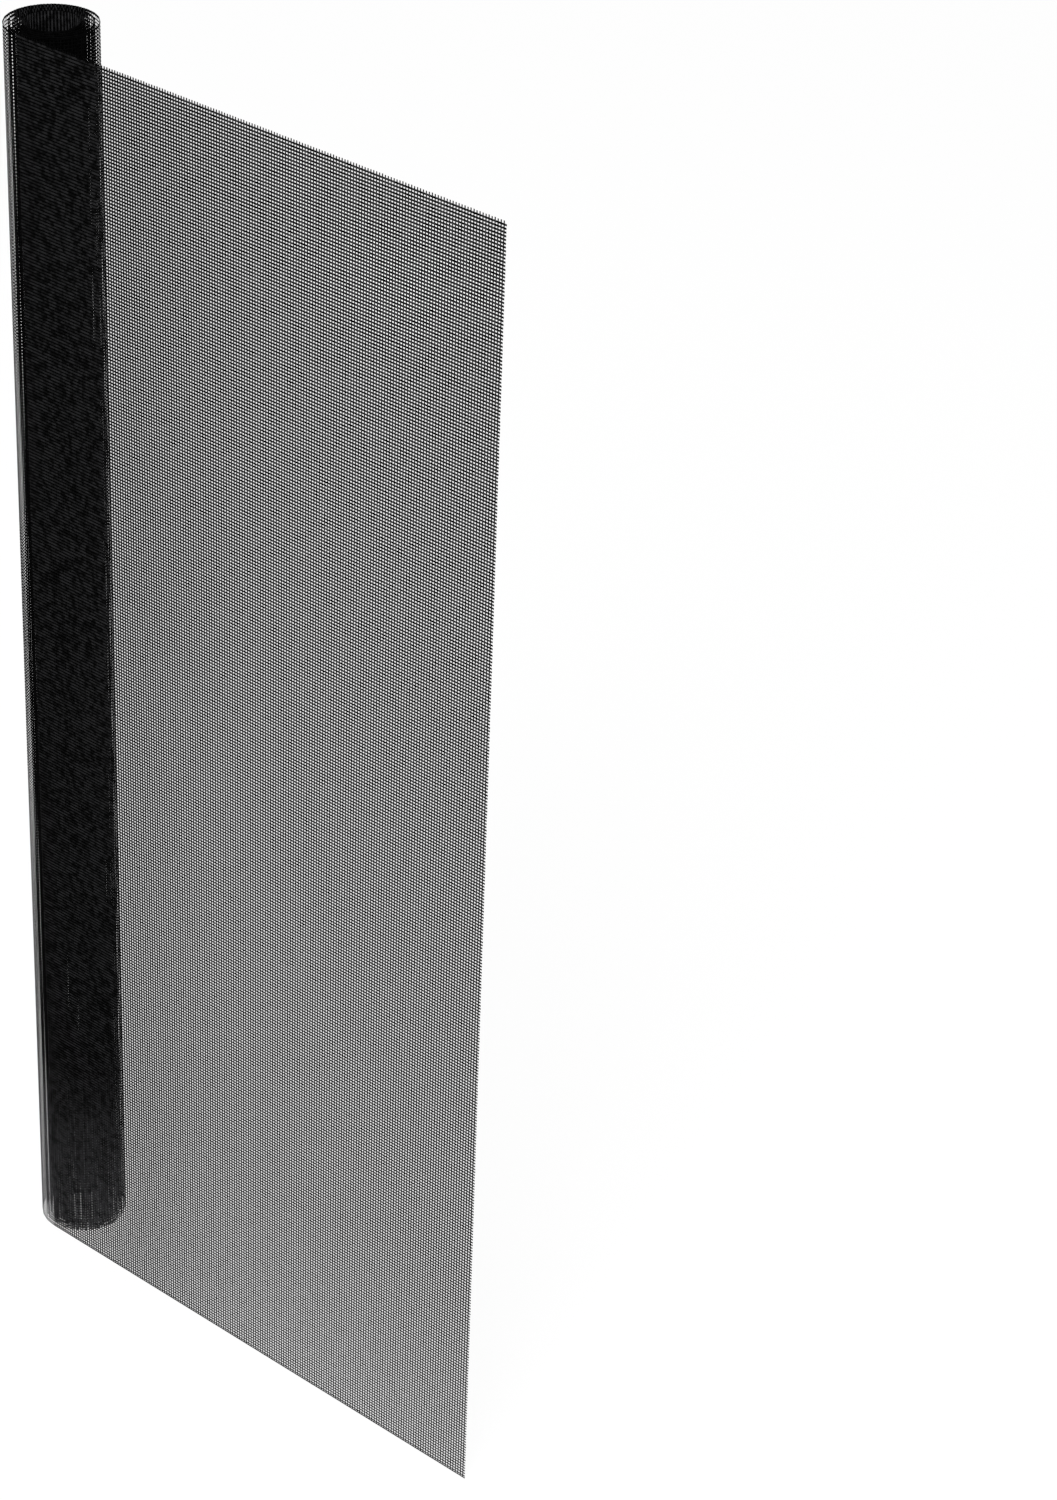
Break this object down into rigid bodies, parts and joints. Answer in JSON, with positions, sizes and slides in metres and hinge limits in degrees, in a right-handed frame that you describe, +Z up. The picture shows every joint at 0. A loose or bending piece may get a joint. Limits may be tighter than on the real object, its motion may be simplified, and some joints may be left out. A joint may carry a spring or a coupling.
{
  "type": "window insect screen roll",
  "caption": "Roll of fine black woven insect screen standing on end, loosely wound round an open hollow, its free end run off flat, to be cut and fixed over a window.",
  "frame": {"origin": "on the axis of the roll's hollow, at the level of the edge it stands on", "axes": "+Z up along the roll, +X along the flat end away from the roll, -Y out of the flat end's front face"},
  "size_m": [0.2882, 0.0407, 0.61],
  "materials": {
    "screen_mesh": "matt"
  },
  "bodies": {
    "root": {"screen_roll": "screen_mesh"}
  },
  "joints": []
}
